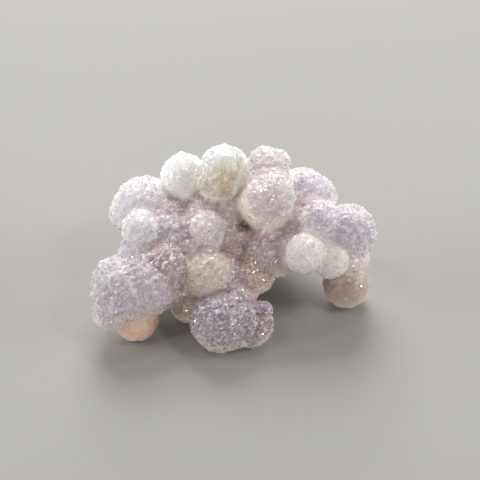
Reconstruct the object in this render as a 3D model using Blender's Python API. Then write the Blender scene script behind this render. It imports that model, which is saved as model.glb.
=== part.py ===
"""Botryoidal chalcedony, the lilac kind sold as grape agate: one loose cluster of intergrown balls.

Every ball is a slightly uneven sphere. All of them grow into each other, so the cluster is one solid.
It stands on the flat worn spots of its lowest balls, with +Z up, +X to the right and +Y to the back.
The origin is under the middle of the cluster, on the surface it stands on.
"""

import bmesh
import bpy
import numpy as np
from mathutils import Euler

MM = 0.001

# Each ball's centre (x, y, z) and radius, in mm, before the cluster is centred over its origin.
# The core balls fill the middle of the cluster, and the bridge balls the dips between lobes grown together.
FRONT_BALLS = {
    "front lobe": (-1.4, -7.6, 3.6, 3.8),
    "front lobe shoulder": (2.0, -7.1, 2.55, 2.75),
    "front lobe knob": (3.5, -7.0, 4.7, 1.25),
    "front neck": (0.5, -4.5, 4.9, 2.3),
    "left lobe": (-13.5, -5.3, 6.5, 3.85),
    "left lobe shoulder": (-14.5, -4.1, 7.2, 2.75),
    "left lobe cheek": (-15.1, -6.5, 4.2, 2.4),
    "left foot": (-12.1, -6.2, 2.5, 2.75),
    "left hollow": (-5.75, -4.2, 3.4, 2.5),
    "cream ball": (-3.6, -3.3, 7.75, 3.0),
    "left flank": (-8.6, -2.1, 7.0, 4.4),
    "left saddle": (-11.4, -1.0, 8.2, 3.0),
}
MIDDLE_BALLS = {
    "left button": (-11.45, 0.5, 11.35, 2.4),
    "middle slope": (-8.0, 1.1, 9.6, 3.1),
    "middle button": (-3.3, 0.45, 11.4, 2.3),
    "deep middle": (-0.25, 2.0, 8.4, 3.75),
    "tan skirt": (-1.0, 4.2, 11.1, 2.5),
    "arm root": (4.6, -0.3, 8.45, 3.15),
    "arm root front": (2.6, -2.6, 6.6, 2.3),
    "arm root underside": (5.4, -0.3, 7.7, 2.5),
}
RIGHT_BALLS = {
    "white pair left": (8.75, -1.9, 9.7, 2.5),
    "white pair right": (11.9, -1.7, 8.45, 2.35),
    "right lobe inner": (11.0, 1.6, 11.3, 2.9),
    "right lobe outer": (14.25, 1.8, 9.7, 3.5),
    "right foot neck": (14.5, 1.6, 5.2, 2.0),
    "right foot": (14.3, -0.4, 2.7, 2.9),
}
TOP_BALLS = {
    "top stack lower": (4.5, 2.6, 15.0, 3.0),
    "top stack upper": (4.0, 6.9, 15.7, 2.75),
    "top stack base": (4.0, 3.4, 13.1, 3.35),
    "tan ball": (-1.25, 7.45, 15.15, 3.15),
    "white ball": (-6.3, 7.9, 13.7, 3.0),
    "left top lobe": (-11.4, 6.1, 10.0, 4.0),
    "left top lobe cheek": (-13.5, 5.4, 10.0, 2.25),
    "purple saddle": (-4.3, 6.5, 10.1, 3.4),
    "back right lobe": (8.6, 7.2, 11.3, 3.5),
    "back right lobe cheek": (10.3, 7.2, 10.9, 2.75),
}
BACK_BALLS = {
    "back foot left": (-7.0, 7.5, 3.0, 3.2),
    "back foot right": (1.5, 7.5, 2.8, 3.0),
    "back foot bead": (5.2, 7.0, 4.6, 2.5),
    "back lobe left": (-11.0, 8.5, 6.5, 3.0),
    "back lobe middle": (-3.5, 9.8, 8.0, 3.2),
    "back lobe right": (2.0, 9.5, 9.5, 3.0),
    "back lobe outer": (7.0, 8.8, 8.2, 2.8),
    "back bead left": (-8.3, 10.4, 9.4, 2.0),
    "back bead right": (5.4, 10.4, 11.6, 2.0),
    "back bead low": (-2.2, 10.2, 4.8, 2.2),
    "right lobe underside": (10.8, 4.6, 8.4, 2.6),
}
CORE_BALLS = {
    "core left": (-8.0, 4.0, 7.0, 5.0),
    "core middle": (-2.5, 4.2, 8.0, 5.6),
    "core right": (4.5, 5.0, 8.6, 4.4),
    "core front": (-2.2, -2.0, 5.6, 3.8),
    "core arm": (7.8, 2.8, 9.8, 3.0),
    "core back": (1.0, 7.2, 11.2, 4.0),
    "core back left": (-6.0, 7.2, 8.6, 4.0),
    "core low": (-2.5, 6.3, 5.6, 4.3),
    "core low right": (0.5, 7.0, 6.2, 3.7),
    "core top": (4.9, 6.2, 12.5, 3.2),
    "core back right": (4.0, 7.7, 9.6, 3.4),
}
BRIDGE_BALLS = {
    "left bridge": (-11.0, -4.2, 6.6, 3.9),
    "front lobe middle": (0.3, -7.5, 3.3, 3.1),
    "top stack cheek": (5.5, 7.45, 16.7, 1.45),
    "tan ball chin": (-1.75, 5.75, 14.55, 2.55),
    "top stack bridge": (4.2, 5.1, 15.1, 2.75),
    "slope bridge": (-5.8, 1.6, 9.8, 2.7),
    "middle bridge": (-4.4, -0.9, 8.9, 2.6),
    "saddle bridge": (-8.0, 3.6, 9.9, 3.0),
    "right lobe chin": (14.6, 0.4, 7.35, 2.5),
}
BALLS = {
    **FRONT_BALLS,
    **MIDDLE_BALLS,
    **RIGHT_BALLS,
    **TOP_BALLS,
    **BACK_BALLS,
    **CORE_BALLS,
    **BRIDGE_BALLS,
}

# How uneven a ball is: the height of its swells as a share of its radius, and how many waves meet on it.
SWELL_HEIGHT = 0.025
SWELL_WAVES = 5
SWELL_PITCH = (2.5, 6.0)
BALL_SUBDIVISIONS = 3
# The side of the cube, in mm, whose top face cuts the flat spots that the cluster stands on.
FLAT_CUTTER = 60
# The share of facets that stays once the slivers along the seams between balls are taken away.
FACETS_KEPT = 0.62
LILAC = (0.62, 0.52, 0.60, 1.0)


def centred(balls):
    """The balls, moved so that the middle of the cluster's box is over the origin."""
    table = np.array(list(balls.values()))
    lowest = (table[:, :2] - table[:, 3:]).min(axis=0)
    highest = (table[:, :2] + table[:, 3:]).max(axis=0)
    table[:, :2] -= (lowest + highest) / 2
    return table


def swelled(directions, ball_number):
    """Radius factor for each unit direction: a few plane waves across the ball, summed."""
    rng = np.random.default_rng(ball_number)
    axes = rng.normal(size=(SWELL_WAVES, 3))
    axes /= np.linalg.norm(axes, axis=1)[:, None]
    pitch = rng.uniform(*SWELL_PITCH, SWELL_WAVES)
    phase = rng.uniform(0, 2 * np.pi, SWELL_WAVES)
    waves = np.cos(directions @ (axes * pitch[:, None]).T + phase)
    return 1 + SWELL_HEIGHT * waves.sum(axis=1) / np.sqrt(SWELL_WAVES)


def make_ball(name, ball_number, x, y, z, radius):
    """An icosphere turned to its own angle, with its points moved in and out by the swells."""
    mesh = bpy.data.meshes.new(name)
    ball = bmesh.new()
    bmesh.ops.create_icosphere(ball, subdivisions=BALL_SUBDIVISIONS, radius=1)
    turn = Euler(np.random.default_rng(ball_number).uniform(0, 2 * np.pi, 3)).to_matrix()
    bmesh.ops.rotate(ball, matrix=turn, verts=ball.verts)
    directions = np.array([v.co for v in ball.verts])
    directions /= np.linalg.norm(directions, axis=1)[:, None]
    points = directions * swelled(directions, ball_number)[:, None] * radius * MM
    for vert, point in zip(ball.verts, points):
        vert.co = point
    ball.to_mesh(mesh)
    ball.free()
    made = bpy.data.objects.new(name, mesh)
    made.location = (x * MM, y * MM, z * MM)
    return made


def as_helper(made):
    made.hide_render = True
    made.display_type = "WIRE"
    return made


def chalcedony_material():
    material = bpy.data.materials.new("chalcedony")
    material.use_nodes = True
    shader = material.node_tree.nodes["Principled BSDF"]
    shader.inputs["Base Color"].default_value = LILAC
    shader.inputs["Roughness"].default_value = 0.35
    shader.inputs["Metallic"].default_value = 0.0
    return material


def main():
    for old in list(bpy.data.objects):
        bpy.data.objects.remove(old)
    part = bpy.data.collections.new("botryoidal_chalcedony")
    helpers = bpy.data.collections.new("cutters")
    grown_in = bpy.data.collections.new("grown_in_balls")
    bpy.context.scene.collection.children.link(part)
    bpy.context.scene.collection.children.link(helpers)
    helpers.children.link(grown_in)

    table = centred(BALLS)
    made = [make_ball(name, i, *row) for i, (name, row) in enumerate(zip(BALLS, table))]
    cluster = made[0]
    cluster.name = "chalcedony"
    cluster.data.materials.append(chalcedony_material())
    part.objects.link(cluster)
    for ball in made[1:]:
        grown_in.objects.link(as_helper(ball))

    join = cluster.modifiers.new("grow_together", "BOOLEAN")
    join.operation = "UNION"
    join.operand_type = "COLLECTION"
    join.collection = grown_in

    thin_out = cluster.modifiers.new("no_slivers", "DECIMATE")
    thin_out.ratio = FACETS_KEPT

    bpy.ops.mesh.primitive_cube_add(size=FLAT_CUTTER * MM, location=(0, 0, -FLAT_CUTTER / 2 * MM))
    surface = as_helper(bpy.context.object)
    surface.name = "surface_it_stands_on"
    for holder in surface.users_collection:
        holder.objects.unlink(surface)
    helpers.objects.link(surface)
    flat = cluster.modifiers.new("worn_flat", "BOOLEAN")
    flat.operation = "DIFFERENCE"
    flat.object = surface


main()
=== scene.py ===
"""Botryoidal chalcedony, dressed: the crust of fine quartz points over a cluster of intergrown lilac balls.

The balls and their places are those of the solid, in mm. The crust is one closed mesh: a grid wrapped
over the merged balls, drawn onto them by their distance formula and raised into small crystals. Loose
quartz points, clear and milky, stand on it.
"""

from math import cos, radians, sin

import bpy
import numpy as np
from mathutils import Euler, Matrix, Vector


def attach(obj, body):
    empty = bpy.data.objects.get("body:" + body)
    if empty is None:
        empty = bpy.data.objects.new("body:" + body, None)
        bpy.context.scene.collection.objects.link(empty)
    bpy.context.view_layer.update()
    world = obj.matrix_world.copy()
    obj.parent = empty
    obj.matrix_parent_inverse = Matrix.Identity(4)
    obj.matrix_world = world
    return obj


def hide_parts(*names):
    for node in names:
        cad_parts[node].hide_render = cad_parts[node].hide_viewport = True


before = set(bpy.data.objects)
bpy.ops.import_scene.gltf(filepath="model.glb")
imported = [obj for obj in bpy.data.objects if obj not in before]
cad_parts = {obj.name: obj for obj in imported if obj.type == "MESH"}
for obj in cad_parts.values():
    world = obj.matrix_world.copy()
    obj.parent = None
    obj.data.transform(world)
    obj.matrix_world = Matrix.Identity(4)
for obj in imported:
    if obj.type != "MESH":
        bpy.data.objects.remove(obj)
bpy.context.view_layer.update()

MM = 0.001
SEED = 7

# Body colours of the chalcedony, linear RGB. They are pale because it is translucent: light that has
# wandered through it comes out much deeper than these. Some stand for light, as painted glow and painted
# rim light; these are noted where they stand.
TINTS = {
    "slate": (0.68, 0.62, 0.67),
    "taupe": (0.53, 0.455, 0.43),
    "grey lilac": (0.87, 0.81, 0.855),
    "mauve": (0.82, 0.72, 0.75),
    "dusk": (0.75, 0.64, 0.63),
    "heather": (0.77, 0.67, 0.69),
    "rust": (0.83, 0.70, 0.66),
    "lilac": (0.95, 0.925, 0.96),
    "violet": (0.89, 0.84, 0.89),
    "rose": (0.96, 0.88, 0.87),
    "haze": (0.86, 0.825, 0.87),
    "fog": (0.72, 0.73, 0.74),
    "pearl": (0.96, 0.915, 0.91),
    "orchid": (0.93, 0.87, 0.88),
    "white": (0.995, 0.985, 0.978),
    # painted rim light: paler rims where balls meet, standing in for light through their edges
    "rim": (1.0, 0.975, 0.945),
    "cream": (0.87, 0.81, 0.765),
    "ivory": (0.995, 0.99, 0.96),
    "tan": (0.94, 0.85, 0.73),
    "blush": (0.99, 0.925, 0.91),
    "peach": (1.0, 0.905, 0.84),
    # partly painted glow: the left foot's warm apricot stands in partly for light through the stone
    "apricot": (0.96, 0.785, 0.67),
    "clay": (0.75, 0.66, 0.62),
    "olive": (0.25, 0.24, 0.15),
    "rosy taupe": (0.58, 0.49, 0.47),
    # painted glow, laid on undersides as if lit through the stone
    "glow": (0.96, 0.88, 0.83),
}

# Each ball: centre x, y, z and radius in mm, its tint, how softly it grows into its neighbours in mm, how
# coarse its crystals are, as a share of the coarsest, and how much painted rim light pales it where it
# meets its neighbours.
BALLS = {
    "front lobe": (-1.4, -7.6, 3.6, 3.8, "slate", 0.15, 1.0, 0.2),
    "front lobe shoulder": (2.0, -7.1, 2.55, 2.75, "dusk", 0.30, 0.9, 0.0),
    "front lobe knob": (3.5, -7.0, 4.7, 1.25, "slate", 0.12, 0.8, 0.3),
    "front neck": (0.5, -4.5, 4.9, 2.3, "mauve", 0.25, 0.8, 0.0),
    "left lobe": (-13.5, -5.3, 6.5, 3.85, "grey lilac", 0.30, 1.0, 0.5),
    "left lobe shoulder": (-14.5, -4.1, 7.2, 2.75, "grey lilac", 0.50, 1.0, 0.0),
    "left lobe cheek": (-15.1, -6.5, 4.2, 2.4, "grey lilac", 0.40, 0.9, 0.5),
    # the apricot of this foot is partly painted glow
    "left foot": (-12.1, -6.2, 2.5, 2.75, "apricot", 0.12, 0.35, 0.6),
    "left hollow": (-5.75, -4.2, 3.4, 2.5, "rust", 0.40, 0.6, 0.2),
    "cream ball": (-3.6, -3.3, 7.75, 3.0, "cream", 0.45, 0.85, 0.0),
    "left flank": (-8.6, -2.1, 7.0, 4.4, "heather", 0.60, 0.9, 0.0),
    "left saddle": (-11.4, -1.0, 8.2, 3.0, "violet", 0.60, 0.9, 0.0),
    "left button": (-11.45, 0.5, 11.35, 2.4, "lilac", 0.20, 1.0, 0.8),
    "middle slope": (-8.0, 1.1, 9.6, 3.1, "grey lilac", 0.50, 1.0, 0.0),
    "middle button": (-3.3, 0.45, 11.4, 2.3, "orchid", 0.12, 1.0, 0.8),
    "deep middle": (-0.25, 2.0, 8.4, 3.75, "dusk", 0.40, 0.7, 0.0),
    "tan skirt": (-1.0, 4.2, 11.1, 2.5, "rose", 0.40, 0.9, 0.0),
    "arm root": (4.6, -0.3, 8.45, 3.15, "heather", 0.30, 0.8, 0.3),
    "arm root front": (2.6, -2.6, 6.6, 2.3, "rust", 0.30, 0.9, 0.5),
    "arm root underside": (5.4, -0.3, 7.7, 2.5, "rust", 0.30, 0.7, 0.0),
    "white pair left": (8.75, -1.9, 9.7, 2.5, "pearl", 0.12, 0.8, 1.0),
    "white pair right": (11.9, -1.7, 8.45, 2.35, "pearl", 0.12, 0.8, 1.0),
    "right lobe inner": (11.0, 1.6, 11.3, 2.9, "violet", 0.30, 0.9, 0.8),
    "right lobe outer": (14.25, 1.8, 9.7, 3.5, "violet", 0.30, 1.0, 0.5),
    "right foot neck": (14.5, 1.6, 5.2, 2.0, "mauve", 0.30, 0.4, 0.0),
    "right foot": (14.3, -0.4, 2.7, 2.9, "clay", 0.15, 0.3, 0.4),
    "top stack lower": (4.5, 2.6, 15.0, 3.0, "orchid", 0.10, 1.0, 0.3),
    "top stack upper": (4.0, 6.9, 15.7, 2.75, "orchid", 0.15, 1.0, 0.8),
    "top stack base": (4.0, 3.4, 13.1, 3.35, "peach", 0.10, 0.7, 1.0),
    "tan ball": (-1.25, 7.45, 15.15, 3.15, "ivory", 0.12, 0.9, 1.0),
    "white ball": (-6.3, 7.9, 13.7, 3.0, "white", 0.10, 0.7, 1.0),
    "left top lobe": (-11.4, 6.1, 10.0, 4.0, "lilac", 0.20, 0.9, 0.5),
    "left top lobe cheek": (-13.5, 5.4, 10.0, 2.25, "white", 0.40, 0.9, 0.5),
    "purple saddle": (-4.3, 6.5, 10.1, 3.4, "mauve", 0.50, 0.8, 0.0),
    "back right lobe": (8.6, 7.2, 11.3, 3.5, "haze", 0.20, 0.8, 0.6),
    "back right lobe cheek": (10.3, 7.2, 10.9, 2.75, "haze", 0.30, 0.8, 0.6),
    "back foot left": (-7.0, 7.5, 3.0, 3.2, "taupe", 0.30, 0.4, 0.0),
    "back foot right": (1.5, 7.5, 2.8, 3.0, "taupe", 0.30, 0.4, 0.0),
    "back foot bead": (5.2, 7.0, 4.6, 2.5, "dusk", 0.30, 0.8, 0.0),
    # The slate of the back balls here is painted shade: it keeps the back, lit from behind, from washing
    # out.
    "back lobe left": (-11.0, 8.5, 6.5, 3.0, "slate", 0.40, 0.9, 0.5),
    "back lobe middle": (-3.5, 9.8, 8.0, 3.2, "grey lilac", 0.30, 0.9, 0.5),
    "back lobe right": (2.0, 9.5, 9.5, 3.0, "slate", 0.30, 0.9, 0.5),
    "back lobe outer": (7.0, 8.8, 8.2, 2.8, "grey lilac", 0.30, 0.9, 0.5),
    "back bead left": (-8.3, 10.4, 9.4, 2.0, "grey lilac", 0.15, 1.0, 0.8),
    "back bead right": (5.4, 10.4, 11.6, 2.0, "haze", 0.15, 1.0, 0.8),
    "back bead low": (-2.2, 10.2, 4.8, 2.2, "slate", 0.25, 0.9, 0.5),
    "right lobe underside": (10.8, 4.6, 8.4, 2.6, "mauve", 0.40, 0.8, 0.0),
    "core left": (-8.0, 4.0, 7.0, 5.0, "mauve", 0.40, 0.7, 0.0),
    "core middle": (-2.5, 4.2, 8.0, 5.6, "mauve", 0.40, 0.7, 0.0),
    "core right": (4.5, 5.0, 8.6, 4.4, "mauve", 0.40, 0.7, 0.0),
    "core front": (-2.2, -2.0, 5.6, 3.8, "mauve", 0.60, 0.7, 0.0),
    "core arm": (7.8, 2.8, 9.8, 3.0, "mauve", 0.60, 0.8, 0.0),
    # The slate of the cores at the back is painted shade, as for the back balls.
    "core back": (1.0, 7.2, 11.2, 4.0, "slate", 0.40, 0.8, 0.0),
    "core back left": (-6.0, 7.2, 8.6, 4.0, "slate", 0.40, 0.8, 0.0),
    "core low": (-2.5, 6.3, 5.6, 4.3, "dusk", 0.40, 0.6, 0.0),
    "core low right": (0.5, 7.0, 6.2, 3.7, "dusk", 0.40, 0.6, 0.0),
    "core top": (4.9, 6.2, 12.5, 3.2, "lilac", 0.40, 0.8, 0.0),
    "core back right": (4.0, 7.7, 9.6, 3.4, "slate", 0.40, 0.8, 0.0),
    "left bridge": (-11.0, -4.2, 6.6, 3.9, "grey lilac", 0.60, 1.0, 0.0),
    "front lobe middle": (0.3, -7.5, 3.3, 3.1, "slate", 0.30, 1.0, 0.0),
    "top stack cheek": (5.5, 7.45, 16.7, 1.45, "lilac", 0.20, 0.9, 0.5),
    "tan ball chin": (-1.75, 5.75, 14.55, 2.55, "cream", 0.20, 0.9, 1.0),
    "top stack bridge": (4.2, 5.1, 15.1, 2.75, "orchid", 0.15, 1.0, 0.5),
    "slope bridge": (-5.8, 1.6, 9.8, 2.7, "mauve", 0.40, 0.9, 0.0),
    "middle bridge": (-4.4, -0.9, 8.9, 2.6, "mauve", 0.40, 0.8, 0.0),
    "saddle bridge": (-8.0, 3.6, 9.9, 3.0, "mauve", 0.40, 0.9, 0.0),
    "right lobe chin": (14.6, 0.4, 7.35, 2.5, "rose", 0.40, 0.8, 0.5),
}

# Stains in the chalcedony, and patches of painted glow and painted shade, named so: centre x, y, z and
# reach in mm, the tint and its strength at the centre.
STAINS_AND_PAINTED_LIGHT = {
    "tan heart": (-0.9, 4.4, 15.8, 3.4, "tan", 1.0),
    "blush on the white ball": (-6.3, 5.1, 14.6, 2.8, "blush", 0.9),
    # painted glow: warm peach low on the right lobe, partly its colour and partly light through the stone
    "peach and painted glow low on the right lobe": (14.6, -0.6, 7.6, 2.6, "peach", 0.8),
    "taupe over the left hollow": (-7.2, -5.6, 4.0, 3.2, "rosy taupe", 0.8),
    "taupe on the front shoulder": (2.9, -8.3, 3.4, 3.5, "rosy taupe", 0.8),
    "deep mauve in the dip": (-3.8, 4.3, 11.8, 3.0, "heather", 0.9),
    "cold grey on the left lobe": (-16.4, -5.0, 8.4, 3.0, "fog", 0.8),
    "peach ring under the top stack": (4.2, 1.9, 11.2, 2.4, "peach", 0.9),
    # painted glow: warm peach under the left lobe, partly its colour and partly light through the stone
    "peach and painted glow under the left lobe": (-11.0, -8.9, 4.2, 2.0, "peach", 0.6),
    # a dark olive spot in the crease by the top stack
    "dark olive spot": (1.2, 1.0, 11.4, 1.3, "olive", 1.0),
    # painted shade: the back is darkened so that, lit from behind, it does not wash out
    "painted shade over the back": (-2.0, 14.5, 8.0, 11.5, "slate", 0.85),
    "painted shade behind on the left": (-11.0, 13.5, 9.0, 6.5, "slate", 0.8),
}

# The balls' swells, as in the solid: their height as a share of the radius, how many waves meet on a ball,
# and how close together they come, least and most.
SWELL_HEIGHT = 0.025
SWELL_WAVES = 5
SWELL_PITCH = (2.5, 6.0)

# How balls grow together, in mm: past what distance a ball has no swells, how far the softness of one ball
# is felt in the next, and how much of the softness is in the fillet.
FAR = 2.0
SOFTNESS_SPREAD = 0.4
FILLET = 0.5
# How far out the openness of a place is felt for, in mm.
REACH = 1.3

# The knobbly relief of the crust, in mm: its usual height, the distance between knobs, how much shorter or
# longer than that its waves are, and how many there are.
KNOB_HEIGHT = 0.055
KNOB_PITCH = 1.15
KNOB_SPREAD = (0.75, 1.35)
KNOB_WAVES = 60

# The grid that the crust is made from: the columns and rows of points on each ball, the cells of the skin
# wrapped over them and how far its points stray, in mm.
GLOBE_COLUMNS = 96
GLOBE_ROWS = 47
CELL = 0.20
STRAY = 0.06
# The longest step, in mm, that a point takes towards the surface in one round, how many such rounds there
# are, and how many in which folds are taken out.
LONGEST_STEP = 0.15
DRAWING_ROUNDS = 3
UNFOLDING_ROUNDS = 6

# The crystals of the crust, in mm: how far the least and the tallest tips stand out, how deep the valleys
# between them are, a crystal's fall for each mm from its axis, and how far it tilts.
CRYSTAL_HEIGHT = (0.03, 0.24)
VALLEY_DEPTH = 0.05
STEEPNESS = 1.0
TILT = 0.3
# A grid point becomes a tip when it outranks its neighbours in one of these rounds of random draws, and
# its crystal covers as many cells around it as it has rounds to grow.
TIP_ROUNDS = 3
PYRAMID_ROUNDS = 3
# Small crystals outnumber large ones: the power of an even draw from 0 to 1 that sets their size.
SMALL_ONES = 1.5
# How far the coarseness of one ball runs into the next, in mm, and the room that crystals have in creases:
# their size there grows with the openness, by this factor, from this share of the full size.
COARSENESS_SPREAD = 0.3
ROOM_FACTOR = 1.6
LEAST_ROOM = 0.1

# The loose quartz points of each kind, in mm: how many, their width, their height over the crust, how much
# of each is in the crust, how far they lean, and over what height from the floor they grow.
QUARTZ_COUNT = 19000
QUARTZ_WIDTH = (0.10, 0.27)
QUARTZ_HEIGHT = (0.05, 0.22)
QUARTZ_ROOT = 0.06
QUARTZ_LEAN = 0.3
QUARTZ_LOWEST = 0.5
QUARTZ_SIDES = 6
# How white they are, from the colour of the crust at 0 to white at 1.
QUARTZ_WHITENESS = {"clear_quartz": (0.5, 1.0), "milky_quartz": (0.0, 0.5)}

# How far the tint of one ball runs into the next, in mm.
TINT_SPREAD = 0.16
# Painted glow: undersides are painted warm and pale, as if lit through the stone. How far down a place
# faces, as a part of straight down, where that starts and where it is full, and how much of the glow is in
# it there.
UNDERSIDE = (-0.15, 0.5)
UNDER_GLOW = 0.9
# Painted rim light: the openness at which the rim of a ball starts to pale, and at which it is at its
# palest.
RIM = (0.85, 0.45)

# The colour of the crust is deepened by a gamma between crystals, partly as painted shade, and whitened on
# their tips, as frost and partly as painted glint: the share of crystal height where each starts and ends,
# and the gamma and the whiteness there.
VALLEY_DEEPENING_SPAN = (0.0, 0.6)
VALLEY_GAMMA = (2.4, 1.3)
TIP_WHITENING_SPAN = (0.3, 0.9)
TIP_WHITENESS = (0.0, 0.45)
TIP_WHITE = (0.97, 0.96, 0.96, 1)

# The floor: half its side in metres, and its finish.
FLOOR_HALF = 0.6
FLOOR_COLOUR = (0.40, 0.395, 0.385, 1)
FLOOR_ROUGHNESS = 0.8

# The lights: place and size in metres, and power in watts. All of them point at the same place.
LIGHTS = {
    "window": ((-0.03, 0.32, 0.31), 0.30, 1.7),
    "low window": ((0.0, 0.45, 0.12), 0.25, 0.6),
    "left": ((-0.38, 0.0, 0.10), 0.30, 0.9),
    "right": ((0.38, 0.0, 0.10), 0.30, 0.9),
    "low front": ((-0.06, -0.38, 0.05), 0.30, 0.5),
    "spark 0": ((0.10, 0.14, 0.40), 0.04, 0.15),
    "spark 1": ((-0.16, -0.08, 0.38), 0.04, 0.15),
    "spark 2": ((0.22, -0.10, 0.32), 0.04, 0.15),
}
LIT_PLACE = (0, 0, 0.009)
DAYLIGHT = (1.0, 0.985, 0.965)
ROOM_LIGHT = (1.0, 0.98, 0.98, 1)
ROOM_LIGHT_STRENGTH = 0.1

# The camera: the degrees that it looks down, its distance, lens and sensor in mm, the place that it looks
# at, in mm, among the balls before they are centred, and how near to it things are still seen, in mm.
CAMERA_DOWN = 42
CAMERA_DISTANCE = 180
CAMERA_LENS = 108
CAMERA_SENSOR = 36
CAMERA_TARGET = (0.75, 0.85, 9.38)
NEAREST_SEEN = 10


def box_middle(balls):
    """The middle of the balls' box, on the floor: halfway between their lowest and highest x and y."""
    table = np.array([ball[:4] for ball in balls.values()])
    lowest = (table[:, :2] - table[:, 3:]).min(axis=0)
    highest = (table[:, :2] + table[:, 3:]).max(axis=0)
    return np.append((lowest + highest) / 2, 0)


def centred(rows):
    """The x, y, z and size in each row of a table, moved so that the middle of the balls is the origin."""
    table = np.array([row[:4] for row in rows.values()])
    table[:, :3] -= MIDDLE
    return table


MIDDLE = box_middle(BALLS)
PLACES = centred(BALLS)
STAIN_AND_LIGHT_PLACES = centred(STAINS_AND_PAINTED_LIGHT)
ball_tints, softness, coarseness, paleness = zip(*(ball[4:] for ball in BALLS.values()))
BALL_TINTS = np.array([TINTS[tint] for tint in ball_tints])
SOFTNESS = np.array(softness)
COARSENESS = np.array(coarseness)
# painted rim light: how much each ball's rims pale where it meets its neighbours
RIM_LIGHT = np.array(paleness)


def unit(vectors):
    return vectors / np.linalg.norm(vectors, axis=-1, keepdims=True)


def progress(values, start, full):
    """How far values have come from a start, 0, to where they are full, 1."""
    return np.clip((values - start) / (full - start), 0, 1)


def swelled(directions, ball_number):
    """Radius factor of a ball for each unit direction, from a few plane waves across it.

    It is 1 plus the swell height times their sum over the root of their number.
    """
    rng = np.random.default_rng(ball_number)
    axes = rng.normal(size=(SWELL_WAVES, 3))
    axes /= np.linalg.norm(axes, axis=1)[:, None]
    pitch = rng.uniform(*SWELL_PITCH, SWELL_WAVES)
    phase = rng.uniform(0, 2 * np.pi, SWELL_WAVES)
    waves = np.cos(directions @ (axes * pitch[:, None]).T + phase)
    return 1 + SWELL_HEIGHT * waves.sum(axis=1) / np.sqrt(SWELL_WAVES)


def ball_distances(points):
    """Distance from each point to each ball's surface, and to its centre.

    The first is the second minus the swelled radius, or minus the plain radius where the ball is far off.
    """
    lengths = np.sqrt(sum((points[:, axis, None] - PLACES[:, axis]) ** 2 for axis in range(3)))
    distances = lengths - PLACES[:, 3]
    for number, (x, y, z, radius) in enumerate(PLACES):
        near = np.flatnonzero(distances[:, number] < FAR)
        directions = (points[near] - (x, y, z)) / lengths[near, number, None]
        distances[near, number] = lengths[near, number] - radius * swelled(directions, number)
    return distances, lengths


def shares(distances, spread):
    """Each ball's share of each point: exp of minus its distance over the spread, scaled to sum to 1."""
    weight = np.exp(-(distances - distances.min(axis=1)[:, None]) / spread)
    return weight / weight.sum(axis=1)[:, None]


def knobs(points):
    """Relief that is mostly between -1 and 1, from plane waves in random directions, about one pitch long.

    It is their sum over the root of half their number.
    """
    rng = np.random.default_rng(SEED)
    axes = rng.normal(size=(KNOB_WAVES, 3))
    axes /= np.linalg.norm(axes, axis=1)[:, None]
    pitch = 2 * np.pi / (KNOB_PITCH * rng.uniform(*KNOB_SPREAD, KNOB_WAVES))
    phase = rng.uniform(0, 2 * np.pi, KNOB_WAVES)
    return np.cos(points @ (axes * pitch[:, None]).T + phase).sum(axis=1) / np.sqrt(KNOB_WAVES / 2)


def crust_distance(points):
    """Distance to the merged, knobbly crust, and the direction in which it grows.

    It is minus k times the log of the summed exp of minus distance over k, less the relief. k comes from
    the softness of the balls nearby, so hard balls meet in a sharp crease and soft ones in a fillet. The
    crust grows in the direction that leads away from the balls' centres, each by its share.
    """
    distances, lengths = ball_distances(points)
    nearest = distances.min(axis=1)
    k = shares(distances, SOFTNESS_SPREAD) @ SOFTNESS * FILLET
    weight = np.exp(-(distances - nearest[:, None]) / k[:, None])
    merged = weight.sum(axis=1)
    pull = weight / merged[:, None] / lengths
    outward = unit(points * pull.sum(axis=1)[:, None] - pull @ PLACES[:, :3])
    return nearest - k * np.log(merged) - KNOB_HEIGHT * knobs(points), outward


def drawn_on(points):
    """Points moved towards the crust: back by their distance from it, or by the longest step."""
    distance, outward = crust_distance(points)
    return points - outward * np.clip(distance, -LONGEST_STEP, LONGEST_STEP)[:, None]


def openness(points, outward):
    """How open a place is, from 0 deep in a crease to 1: its distance at one reach out, over the reach."""
    return np.clip(crust_distance(points + outward * REACH)[0] / REACH, 0, 1)


def globe():
    """A globe grid as unit directions, its four-sided cells, and the three-sided ones round its poles.

    A direction is x = sin(v) cos(u), y = sin(v) sin(u), z = cos(v).
    """
    u = np.linspace(0, 2 * np.pi, GLOBE_COLUMNS, endpoint=False)
    v = np.linspace(0, np.pi, GLOBE_ROWS + 2)[1:-1]
    around, down = np.meshgrid(u, v)
    rows = np.stack([np.sin(down) * np.cos(around), np.sin(down) * np.sin(around), np.cos(down)], axis=-1)
    directions = np.concatenate([rows.reshape(-1, 3), [[0, 0, 1], [0, 0, -1]]])
    here = np.arange(GLOBE_ROWS * GLOBE_COLUMNS).reshape(GLOBE_ROWS, GLOBE_COLUMNS)
    right = np.roll(here, -1, axis=1)
    cells = np.stack([here[:-1], here[1:], right[1:], right[:-1]], axis=-1).reshape(-1, 4)
    top, bottom = (np.full(GLOBE_COLUMNS, here.size + pole) for pole in range(2))
    caps = [np.stack([top, here[0], right[0]], axis=-1), np.stack([bottom, right[-1], here[-1]], axis=-1)]
    return directions, cells, np.concatenate(caps)


def read_out(items, name, width=1, kind=np.int32):
    """One property of a mesh's points, corners or polygons, as an array."""
    values = np.empty(len(items) * width, kind)
    items.foreach_get(name, values)
    return values


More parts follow.
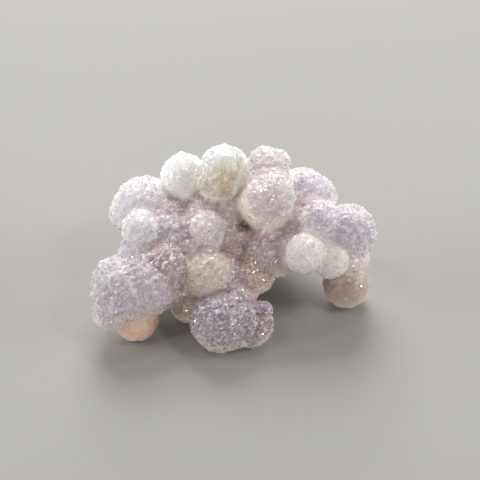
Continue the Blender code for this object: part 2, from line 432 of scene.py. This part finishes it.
def wrapped_grid():
    """A grid of even cells over all the balls, as its points in mm and the corners of its cells.

    Each ball is a globe grid, its centre plus direction times swelled radius, and a voxel remesh at the
    cell's size wraps them all in one skin. The corners are the numbers of their points, in one row for all
    cells, with each cell's place in that row and how many corners it has.
    """
    directions, cells, caps = globe()
    points, faces = [], []
    for number, (x, y, z, radius) in enumerate(PLACES):
        first = number * len(directions)
        points.append(directions * radius * swelled(directions, number)[:, None] + (x, y, z))
        faces += (cells + first).tolist() + (caps + first).tolist()
    mesh = bpy.data.meshes.new("balls")
    mesh.from_pydata(np.concatenate(points).tolist(), [], faces)
    balls = bpy.data.objects.new("balls", mesh)
    bpy.context.scene.collection.objects.link(balls)
    remesh = balls.modifiers.new("wrap", "REMESH")
    remesh.mode = "VOXEL"
    remesh.voxel_size = CELL
    wrapped = balls.evaluated_get(bpy.context.evaluated_depsgraph_get()).data
    grid = read_out(wrapped.vertices, "co", 3, np.float64).reshape(-1, 3)
    corners = read_out(wrapped.loops, "vertex_index")
    starts = read_out(wrapped.polygons, "loop_start")
    sizes = read_out(wrapped.polygons, "loop_total")
    bpy.data.objects.remove(balls)
    bpy.data.meshes.remove(mesh)
    return grid, corners, starts, sizes


def neighbours(corners, starts, sizes):
    """Pairs of grid points that share an edge, each both ways, and the corner that follows each corner."""
    following = np.arange(len(corners)) + 1
    following[starts + sizes - 1] = starts
    edges = np.stack([corners, corners[following]])
    return np.concatenate([edges, edges[::-1]], axis=1), following


def evened(points, edges):
    """Each point moved halfway to the mean of its neighbours."""
    count = np.bincount(edges[0], minlength=len(points))
    total = [np.bincount(edges[0], points[edges[1], axis], len(points)) for axis in range(3)]
    return (points + np.stack(total, axis=1) / count[:, None]) / 2


def fanned(corners, starts, sizes):
    """The cells as facets: a fan of triangles from the first corner of each."""
    fan = sizes - 2
    cell = np.repeat(np.arange(len(starts)), fan)
    step = np.arange(len(cell)) - np.repeat(np.cumsum(fan) - fan, fan)
    second = starts[cell] + step + 1
    return np.stack([corners[starts[cell]], corners[second], corners[second + 1]], axis=1)


def unfolded(points, facets, edges, outward):
    """Points without folds: the corners of facets that face inwards are evened out, in each round."""
    for _ in range(UNFOLDING_ROUNDS):
        one, two, three = (points[facets[:, corner]] for corner in range(3))
        facing = (np.cross(two - one, three - one) * outward[facets[:, 0]]).sum(axis=1)
        folded = np.unique(facets[facing <= 0])
        points[folded] = evened(points, edges)[folded]
    return points


def crystal_tips(count, corners, following, edges, rng):
    """Which grid points are crystal tips: those whose random rank beats all their neighbours' in a round.

    Points that share a cell are neighbours, and neighbours of a tip drop out of the later rounds.
    """
    across = np.stack([corners, corners[following[following]]])
    pairs = np.concatenate([edges, across, across[::-1]], axis=1)
    tip = np.zeros(count, bool)
    left = np.ones(count, bool)
    for _ in range(TIP_ROUNDS):
        rank = rng.uniform(0, 1, count) * left
        best = np.zeros(count)
        np.maximum.at(best, pairs[0], rank[pairs[1]])
        won = left & (rank > best)
        tip |= won
        left &= ~won
        left[pairs[1][won[pairs[0]]]] = False
    return tip


def pyramid(points, roots, tops, across, along, tilt):
    """Height of a leaning hexagonal pyramid over the crust.

    It is the pyramid's top, minus its steepness times the largest of the point's distances from its axis
    across its three pairs of sides, plus its tilt times the offset.
    """
    offset = points - roots
    x = (offset * across).sum(axis=1)
    y = (offset * along).sum(axis=1)
    turns = np.arange(3) * np.pi / 3
    side = np.abs(x[:, None] * np.cos(turns) + y[:, None] * np.sin(turns)).max(axis=1)
    return tops - STEEPNESS * side + (offset * tilt).sum(axis=1)


def crystal_heights(grid, edges, tip, outward, size, rng):
    """Height of the crystals over each grid point: the tallest of the pyramids whose tips are around it.

    Every tip grows a pyramid of a random height. In each round a point looks at the pyramids that its
    neighbours along the edges stand on, and takes the tallest if it is taller here than its own.
    """
    count = len(grid)
    across = unit(np.cross(outward, rng.normal(size=(count, 3))))
    along = np.cross(outward, across)
    tilt = rng.normal(0, TILT, (count, 3))
    low, high = CRYSTAL_HEIGHT
    tops = (low + (high - low) * rng.uniform(0, 1, count) ** SMALL_ONES) * size
    tops[~tip] = -np.inf
    owner = np.arange(count)
    height = tops.copy()
    for _ in range(PYRAMID_ROUNDS):
        asked = owner[edges[1]]
        here = pyramid(grid[edges[0]], grid[asked], tops[asked], across[asked], along[asked], tilt[asked])
        best = np.full(count, -np.inf)
        np.maximum.at(best, edges[0], here)
        taller = (here == best[edges[0]]) & (here > height[edges[0]])
        owner[edges[0][taller]] = asked[taller]
        height[edges[0][taller]] = here[taller]
    return height.clip(-VALLEY_DEPTH)


def crystal_crust():
    """The crust's points and facets, the way out at each point, how coarse it is there, and its frost and
    painted light.

    The wrapped grid is evened out and drawn onto the merged balls, and its points stray a little sideways
    and rise by the height of the crystals. The frost and painted light is 0 between crystals and 1 on the
    tallest tips: it whitens tips as frost, partly as painted glint, and deepens gaps, partly as painted
    shade.
    """
    rng = np.random.default_rng(SEED)
    grid, corners, starts, sizes = wrapped_grid()
    edges, following = neighbours(corners, starts, sizes)
    for _ in range(DRAWING_ROUNDS):
        grid = drawn_on(evened(grid, edges))
    outward = crust_distance(grid)[1]
    room = np.clip(openness(grid, outward) * ROOM_FACTOR, LEAST_ROOM, 1)
    stray = rng.normal(0, STRAY, grid.shape) * room[:, None]
    grid = drawn_on(grid + stray - outward * (stray * outward).sum(axis=1)[:, None])

    tip = crystal_tips(len(grid), corners, following, edges, rng)
    outward = crust_distance(grid)[1]
    coarse = shares(ball_distances(grid)[0], COARSENESS_SPREAD) @ COARSENESS * room
    height = crystal_heights(grid, edges, tip, outward, coarse, rng)
    frost_and_painted_light = progress(height, -VALLEY_DEPTH, CRYSTAL_HEIGHT[1])
    facets = fanned(corners, starts, sizes)
    points = unfolded(grid + outward * height[:, None], facets, edges, outward)
    points[:, 2] = points[:, 2].clip(0)
    return points, facets, outward, coarse, frost_and_painted_light


def quartz_points(points, facets, outward, coarse, rng):
    """Corners and facets of the loose quartz points, and the root of each.

    They stand at random places on random facets of the crust, more often the coarser it is, by its square.
    Each is a hexagonal pyramid: a ring of corners, root + across * cos(u) * r + along * sin(u) * r, a
    little under the crust, and a tip over it.
    """
    chance = coarse[facets[:, 0]] ** 2 * (points[facets[:, 0], 2] > QUARTZ_LOWEST)
    chosen = facets[rng.choice(len(facets), QUARTZ_COUNT, p=chance / chance.sum())]
    corner = rng.dirichlet((1, 1, 1), QUARTZ_COUNT)
    roots = (points[chosen] * corner[:, :, None]).sum(axis=1)
    axes = unit(outward[chosen[:, 0]] + rng.normal(0, QUARTZ_LEAN, roots.shape))
    size = rng.uniform(0, 1, len(roots)) ** SMALL_ONES * coarse[chosen[:, 0]]
    radius = (QUARTZ_WIDTH[0] + (QUARTZ_WIDTH[1] - QUARTZ_WIDTH[0]) * size) / 2
    height = QUARTZ_HEIGHT[0] + (QUARTZ_HEIGHT[1] - QUARTZ_HEIGHT[0]) * size
    across = unit(np.cross(axes, rng.normal(size=roots.shape)))
    along = np.cross(axes, across)
    here = np.arange(QUARTZ_SIDES)
    u = here * 2 * np.pi / QUARTZ_SIDES
    ring = across[:, None] * np.cos(u)[:, None] + along[:, None] * np.sin(u)[:, None]
    ring = ring * radius[:, None, None] + (roots - axes * QUARTZ_ROOT)[:, None]
    tips = roots + axes * height[:, None]
    corners = np.concatenate([ring, tips[:, None]], axis=1)
    sides = np.stack([here, (here + 1) % QUARTZ_SIDES, np.full(QUARTZ_SIDES, QUARTZ_SIDES)], axis=1)
    bottom = np.stack([0 * here[2:], here[:1:-1], here[-2:0:-1]], axis=1)
    pyramids = np.concatenate([sides, bottom]) + np.arange(len(roots))[:, None, None] * (QUARTZ_SIDES + 1)
    return corners, pyramids, roots


def blended(tint, other, weight):
    """A tint at each point, moved towards another by a weight: tint + weight * (other - tint)."""
    return tint + weight[:, None] * (other - tint)


def skin(points):
    """The tint at each point: the balls' own, by their shares, with the stains and painted light laid over
    it.

    The weight of each laid tint falls from its strength at its centre to 0 at its reach as a bell,
    (1 - (distance / reach) squared) squared. Undersides are raised towards the glow, a painted glow, more
    the steeper they face down. Near a crease painted rim light pales the rim of a ball, laid over all that,
    with a weight that falls from the ball's share of rim light to 0 as the place opens.
    """
    share = shares(ball_distances(points)[0], TINT_SPREAD)
    tint = share @ BALL_TINTS
    # stains, with patches of painted glow and painted shade among them
    for (x, y, z, reach), (*_, laid_tint, strength) in zip(STAIN_AND_LIGHT_PLACES, STAINS_AND_PAINTED_LIGHT.values()):
        apart = np.linalg.norm(points - (x, y, z), axis=1) / reach
        tint = blended(tint, TINTS[laid_tint], strength * np.clip(1 - apart ** 2, 0, None) ** 2)
    outward = crust_distance(points)[1]
    # painted glow: undersides are raised towards warm and pale, as if lit through the stone
    raised = np.maximum(tint, TINTS["glow"])
    tint = blended(tint, raised, UNDER_GLOW * progress(-outward[:, 2], *UNDERSIDE))
    # painted rim light: balls pale near creases where they meet their neighbours
    rim = progress(openness(points, outward), *RIM)
    return blended(tint, TINTS["rim"], share @ RIM_LIGHT * rim)


def faceted_piece(name, points, facets):
    """An object from points in mm and its facets."""
    mesh = bpy.data.meshes.new(name)
    mesh.from_pydata((points * MM).tolist(), [], facets.tolist())
    piece = bpy.data.objects.new(name, mesh)
    bpy.context.scene.collection.objects.link(piece)
    return piece


def paint(piece, tint):
    """Gives a piece its tint, as a colour at each point."""
    colour = piece.data.attributes.new("tint", "FLOAT_COLOR", "POINT")
    colour.data.foreach_set("color", np.column_stack([tint, np.ones(len(tint))]).ravel())


def mark(piece, name, values):
    """Gives a piece a named value at each point."""
    piece.data.attributes.new(name, "FLOAT", "POINT").data.foreach_set("value", values)


def druse():
    """The crust, and the loose quartz points on it, clear and milky."""
    rng = np.random.default_rng(SEED + 1)
    points, facets, outward, coarse, frost_and_painted_light = crystal_crust()
    crust = faceted_piece("crystal_crust", points, facets)
    paint(crust, skin(points))
    mark(crust, "frost_and_painted_light", frost_and_painted_light)

    quartz = []
    for name, whiteness in QUARTZ_WHITENESS.items():
        corners, pyramids, roots = quartz_points(points, facets, outward, coarse, rng)
        # the quartz takes the crust's tint, painted glow, shade and rim light included
        tint = blended(skin(roots), TINTS["white"], rng.uniform(*whiteness, len(roots)))
        piece = faceted_piece(name, corners.reshape(-1, 3), pyramids.reshape(-1, 3))
        paint(piece, np.repeat(tint, QUARTZ_SIDES + 1, axis=0))
        quartz.append(piece)
    return crust, quartz


def mineral(name, looks):
    """A material with these values on its shader's own sockets, the socket of its colour, and its tint."""
    material = bpy.data.materials.new(name)
    material.use_nodes = True
    shader = material.node_tree.nodes["Principled BSDF"]
    for socket, value in looks.items():
        shader.inputs[socket].default_value = value
    tint = attribute(material.node_tree, "tint")
    return material, shader.inputs["Base Color"], tint.outputs["Color"]


def attribute(tree, name):
    """The node that reads one attribute of the piece."""
    made = tree.nodes.new("ShaderNodeAttribute")
    made.attribute_name = name
    return made


def carried_over(tree, value, given, wanted):
    """The output of a node that carries a value evenly from one range to another, and no further."""
    made = tree.nodes.new("ShaderNodeMapRange")
    for name, number in zip(("From Min", "From Max", "To Min", "To Max"), (*given, *wanted)):
        made.inputs[name].default_value = number
    tree.links.new(value, made.inputs["Value"])
    return made.outputs["Result"]


def crust_material():
    """Chalcedony under sugary quartz: the tints of the balls, deeper in valleys, partly as painted shade,
    and whitened on tips, as frost and partly as painted glint.
    """
    material, colour, tint = mineral("crystal crust", {
        "Roughness": 0.55,
        "Coat Weight": 0.6,
        "Coat Roughness": 0.08,
        "Coat IOR": 1.9,
        "Subsurface Weight": 0.9,
        "Subsurface Radius": (1.0, 1.0, 1.0),
        "Subsurface Scale": 2 * MM,
    })
    tree = material.node_tree
    link = tree.links.new
    frost_and_painted_light = attribute(tree, "frost_and_painted_light").outputs["Fac"]

    # partly painted shade: the valleys between crystals are deepened
    deep = tree.nodes.new("ShaderNodeGamma")
    link(tint, deep.inputs["Color"])
    link(carried_over(tree, frost_and_painted_light, VALLEY_DEEPENING_SPAN, VALLEY_GAMMA), deep.inputs["Gamma"])

    # whitened tips: frost, partly painted glint
    whitened_tips = tree.nodes.new("ShaderNodeMix")
    whitened_tips.data_type = "RGBA"
    whitened_tips.inputs["B"].default_value = TIP_WHITE
    link(carried_over(tree, frost_and_painted_light, TIP_WHITENING_SPAN, TIP_WHITENESS), whitened_tips.inputs["Factor"])
    link(deep.outputs["Color"], whitened_tips.inputs["A"])
    link(whitened_tips.outputs["Result"], colour)
    return material


def clear_quartz():
    """Clear quartz, its faces a little frosted, with a breath of the colour that it grew on."""
    material, colour, tint = mineral("clear quartz", {
        "Roughness": 0.2,
        "IOR": 1.55,
        "Transmission Weight": 1.0,
    })
    material.node_tree.links.new(tint, colour)
    return material


def milky_quartz():
    """Cloudy quartz, from the colour that it grew on to halfway to white, with bright faces."""
    material, colour, tint = mineral("milky quartz", {
        "Roughness": 0.3,
        "Coat Weight": 1.0,
        "Coat Roughness": 0.08,
        "Coat IOR": 1.9,
        "Subsurface Weight": 1.0,
        "Subsurface Radius": (1.0, 1.0, 1.0),
        "Subsurface Scale": 0.3 * MM,
    })
    material.node_tree.links.new(tint, colour)
    return material


def floor():
    """A plain pale floor, far wider than the cluster."""
    half = FLOOR_HALF
    mesh = bpy.data.meshes.new("floor")
    square = [(-half, -half, 0), (half, -half, 0), (half, half, 0), (-half, half, 0)]
    mesh.from_pydata(square, [], [(0, 1, 2, 3)])
    made = bpy.data.objects.new("floor", mesh)
    bpy.context.scene.collection.objects.link(made)
    material = bpy.data.materials.new("floor")
    material.use_nodes = True
    shader = material.node_tree.nodes["Principled BSDF"]
    shader.inputs["Base Color"].default_value = FLOOR_COLOUR
    shader.inputs["Roughness"].default_value = FLOOR_ROUGHNESS
    mesh.materials.append(material)


def area_light(name, place, size, watts):
    """A round light that faces the lit place."""
    light = bpy.data.lights.new(name, "AREA")
    light.shape = "DISK"
    light.size = size
    light.energy = watts
    light.color = DAYLIGHT
    made = bpy.data.objects.new(name, light)
    made.location = place
    made.rotation_euler = (Vector(LIT_PLACE) - Vector(place)).to_track_quat("-Z", "Y").to_euler()
    bpy.context.scene.collection.objects.link(made)


def studio():
    """Soft daylight from behind and from both sides, small sparks for the crystals, and a dim room."""
    for name, (place, size, watts) in LIGHTS.items():
        area_light(name, place, size, watts)
    world = bpy.data.worlds.new("studio")
    bpy.context.scene.world = world
    world.use_nodes = True
    background = world.node_tree.nodes["Background"]
    background.inputs["Color"].default_value = ROOM_LIGHT
    background.inputs["Strength"].default_value = ROOM_LIGHT_STRENGTH
    bpy.context.scene.view_settings.view_transform = "Standard"


def camera():
    """The photograph's view, from above the front through a long lens."""
    down = radians(CAMERA_DOWN)
    target = Vector(np.array(CAMERA_TARGET) - MIDDLE) * MM
    forward = Vector((0, cos(down), -sin(down)))
    made = bpy.data.objects.new("camera", bpy.data.cameras.new("camera"))
    made.location = target - forward * CAMERA_DISTANCE * MM
    made.rotation_euler = Euler((radians(90 - CAMERA_DOWN), 0, 0))
    made.data.lens = CAMERA_LENS
    made.data.sensor_width = CAMERA_SENSOR
    made.data.clip_start = NEAREST_SEEN * MM
    bpy.context.scene.collection.objects.link(made)
    bpy.context.scene.camera = made


camera()
studio()
floor()
crust, quartz = druse()
crust.data.materials.append(crust_material())
for piece, material in zip(quartz, (clear_quartz(), milky_quartz())):
    piece.data.materials.append(material)
for piece in (crust, *quartz):
    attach(piece, "root")
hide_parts("chalcedony")
